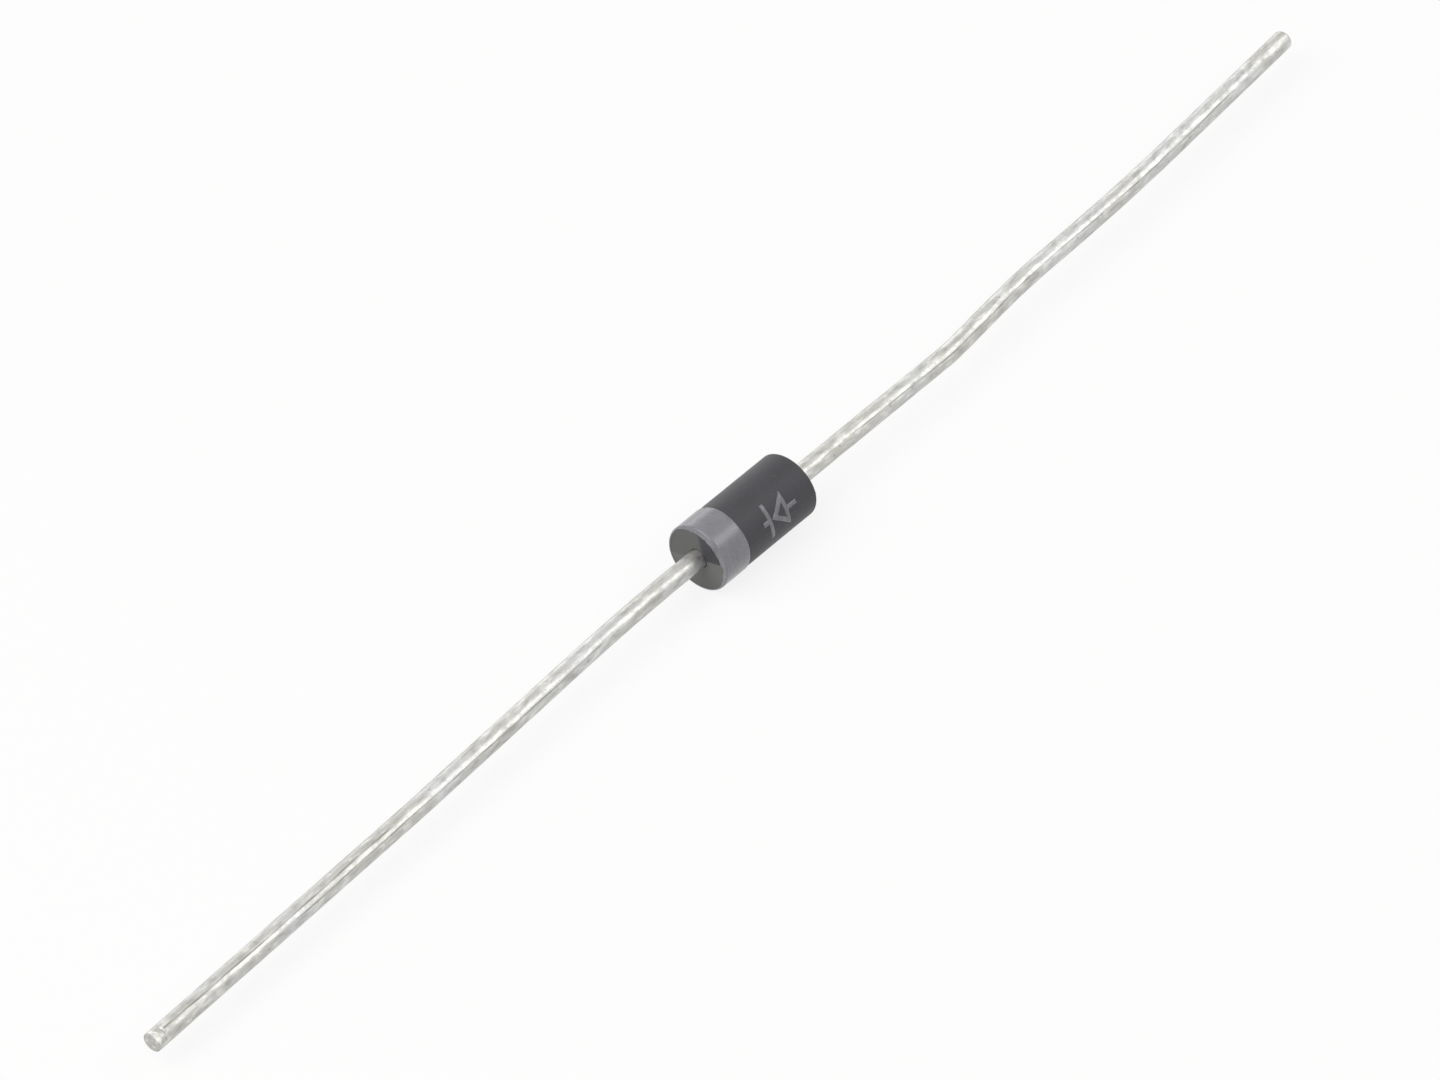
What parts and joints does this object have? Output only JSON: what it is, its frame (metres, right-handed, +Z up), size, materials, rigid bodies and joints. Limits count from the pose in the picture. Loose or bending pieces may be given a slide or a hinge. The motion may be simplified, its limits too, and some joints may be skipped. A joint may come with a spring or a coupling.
{
  "type": "axial rectifier diode",
  "caption": "Cylindrical moulded epoxy rectifier diode with a grey cathode band and a long, slightly bent wire lead on each end of its axis.",
  "frame": {"origin": "middle of the moulded barrel, on its axis", "axes": "+X along the barrel's axis from the cathode (banded) end to the anode end, +Z up as the diode lies on its side"},
  "size_m": [0.0668, 0.0033, 0.0028],
  "materials": {
    "epoxy": "matt moulded black epoxy",
    "ink": "matt grey printed ink",
    "tinned_wire": "dull tin plating on drawn copper wire",
    "silicon": "polished",
    "solder": "satin",
    "silicone": "soft translucent white"
  },
  "bodies": {
    "root": {"moulded_barrel": "epoxy", "cathode_band": "ink", "polarity_mark": "ink", "cathode_lead": "tinned_wire", "anode_lead": "tinned_wire", "silicon_die": "silicon", "cathode_solder": "solder", "anode_solder": "solder", "junction_coating": "silicone"}
  },
  "joints": []
}
